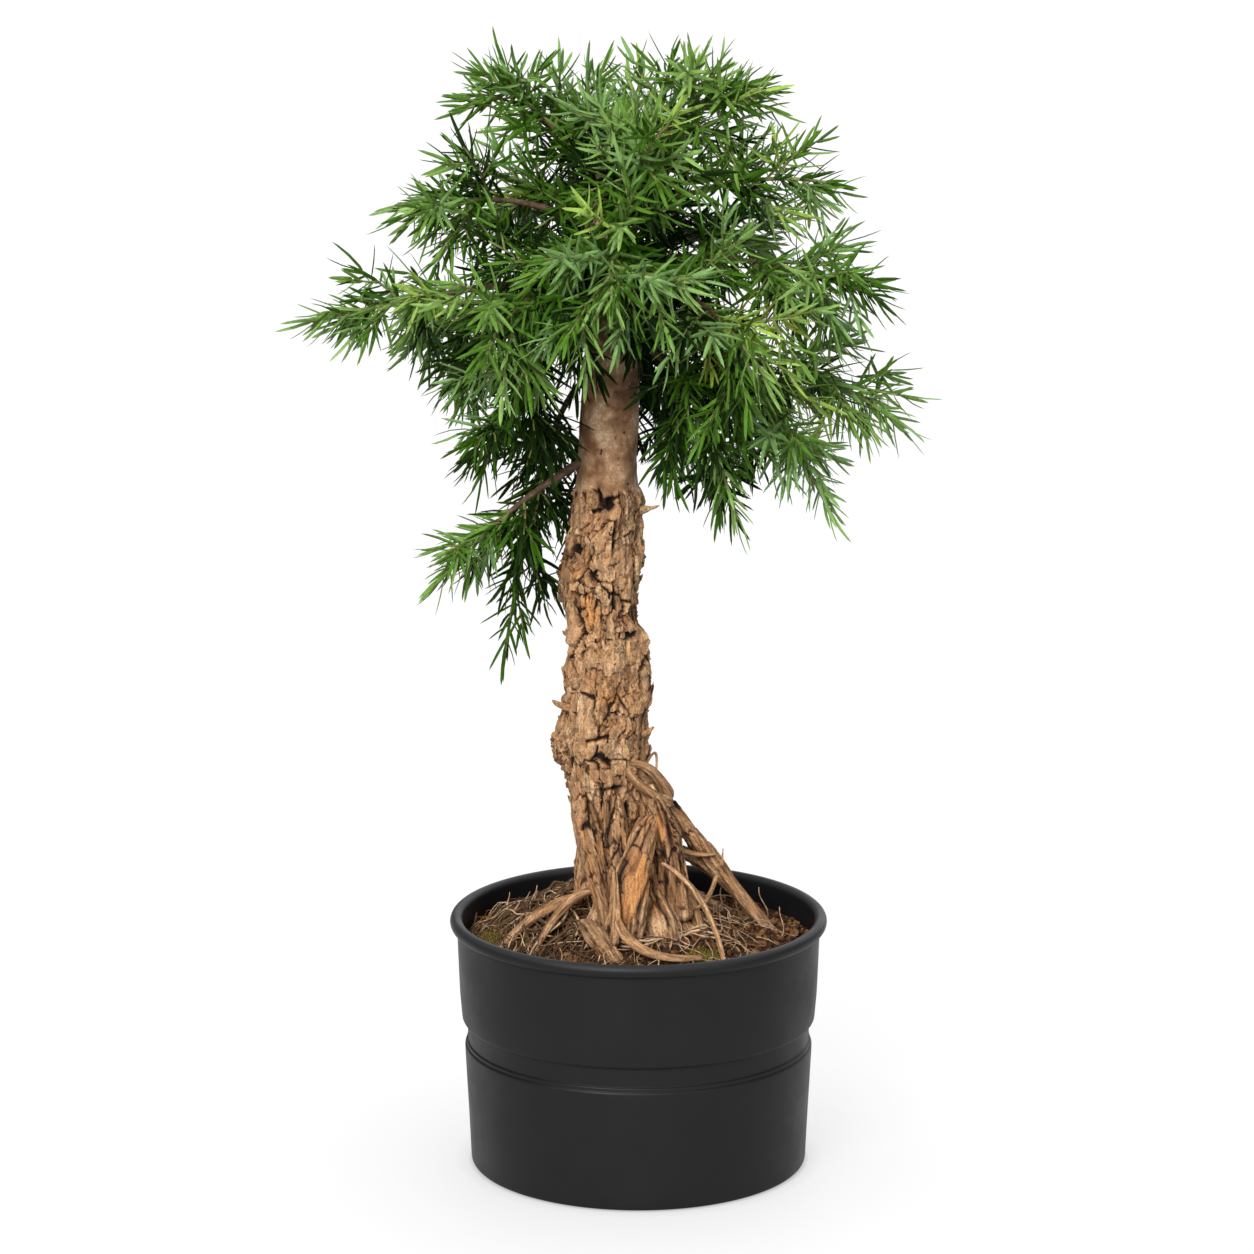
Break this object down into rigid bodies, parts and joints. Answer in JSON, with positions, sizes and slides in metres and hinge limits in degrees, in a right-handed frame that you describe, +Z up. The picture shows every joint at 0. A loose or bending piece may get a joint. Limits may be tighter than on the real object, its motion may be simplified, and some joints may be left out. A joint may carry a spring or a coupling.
{
  "type": "hoop pine bonsai",
  "caption": "Small conifer bonsai with a rough leaning trunk, bare surface roots and a loose crown of needle sprays, in a round tapered pot with a rolled rim and a recessed band.",
  "frame": {"origin": "middle of the pot's flat underside", "axes": "+Z up along the pot's axis; the tree's front, with the bare root knuckle, faces -Y, and its longest branch reaches to -X"},
  "size_m": [0.3494, 0.2745, 0.6227],
  "materials": {
    "pot": "satin charcoal black",
    "soil": "crumbly bark and peat",
    "bark": "flaky, cracked bark",
    "root_wood": "bare, fibrous root bark",
    "bough_bark": "smooth thin bark",
    "needles": "satin green needles"
  },
  "bodies": {
    "root": {"pot": "pot", "soil": "soil", "trunk": "bark", "root_prop_right": "root_wood", "root_knuckle_front": "root_wood", "root_bulb_front": "root_wood", "root_knob_front": "root_wood", "root_left_front": "root_wood", "root_left": "root_wood", "root_right_front": "root_wood", "root_right": "root_wood", "root_back": "root_wood", "root_back_left": "root_wood", "bough_top_left": "bough_bark", "bough_top_right": "bough_bark", "bough_top_back": "bough_bark", "bough_top_front": "bough_bark", "bough_left_upper": "bough_bark", "bough_right_upper": "bough_bark", "bough_back_upper": "bough_bark", "bough_left_far": "bough_bark", "bough_right": "bough_bark", "bough_back_right": "bough_bark", "bough_front": "bough_bark", "bough_front_left": "bough_bark", "bough_front_right": "bough_bark", "bough_back": "bough_bark", "bough_back_left": "bough_bark", "bough_right_low": "bough_bark", "bough_right_hanging": "bough_bark", "bough_front_low": "bough_bark", "bough_back_low": "bough_bark", "bough_left_low": "bough_bark", "bough_left_hanging": "bough_bark", "bough_left_trailing": "bough_bark", "foliage_top": "needles", "foliage_top_left": "needles", "foliage_top_right": "needles", "foliage_top_back": "needles", "foliage_top_front": "needles", "foliage_left_upper": "needles", "foliage_right_upper": "needles", "foliage_back_upper": "needles", "foliage_left_far": "needles", "foliage_right": "needles", "foliage_back_right": "needles", "foliage_front": "needles", "foliage_front_left": "needles", "foliage_front_right": "needles", "foliage_back": "needles", "foliage_back_left": "needles", "foliage_right_low": "needles", "foliage_right_hanging": "needles", "foliage_front_low": "needles", "foliage_back_low": "needles", "foliage_left_low": "needles", "foliage_left_hanging": "needles", "foliage_left_trailing": "needles"}
  },
  "joints": []
}
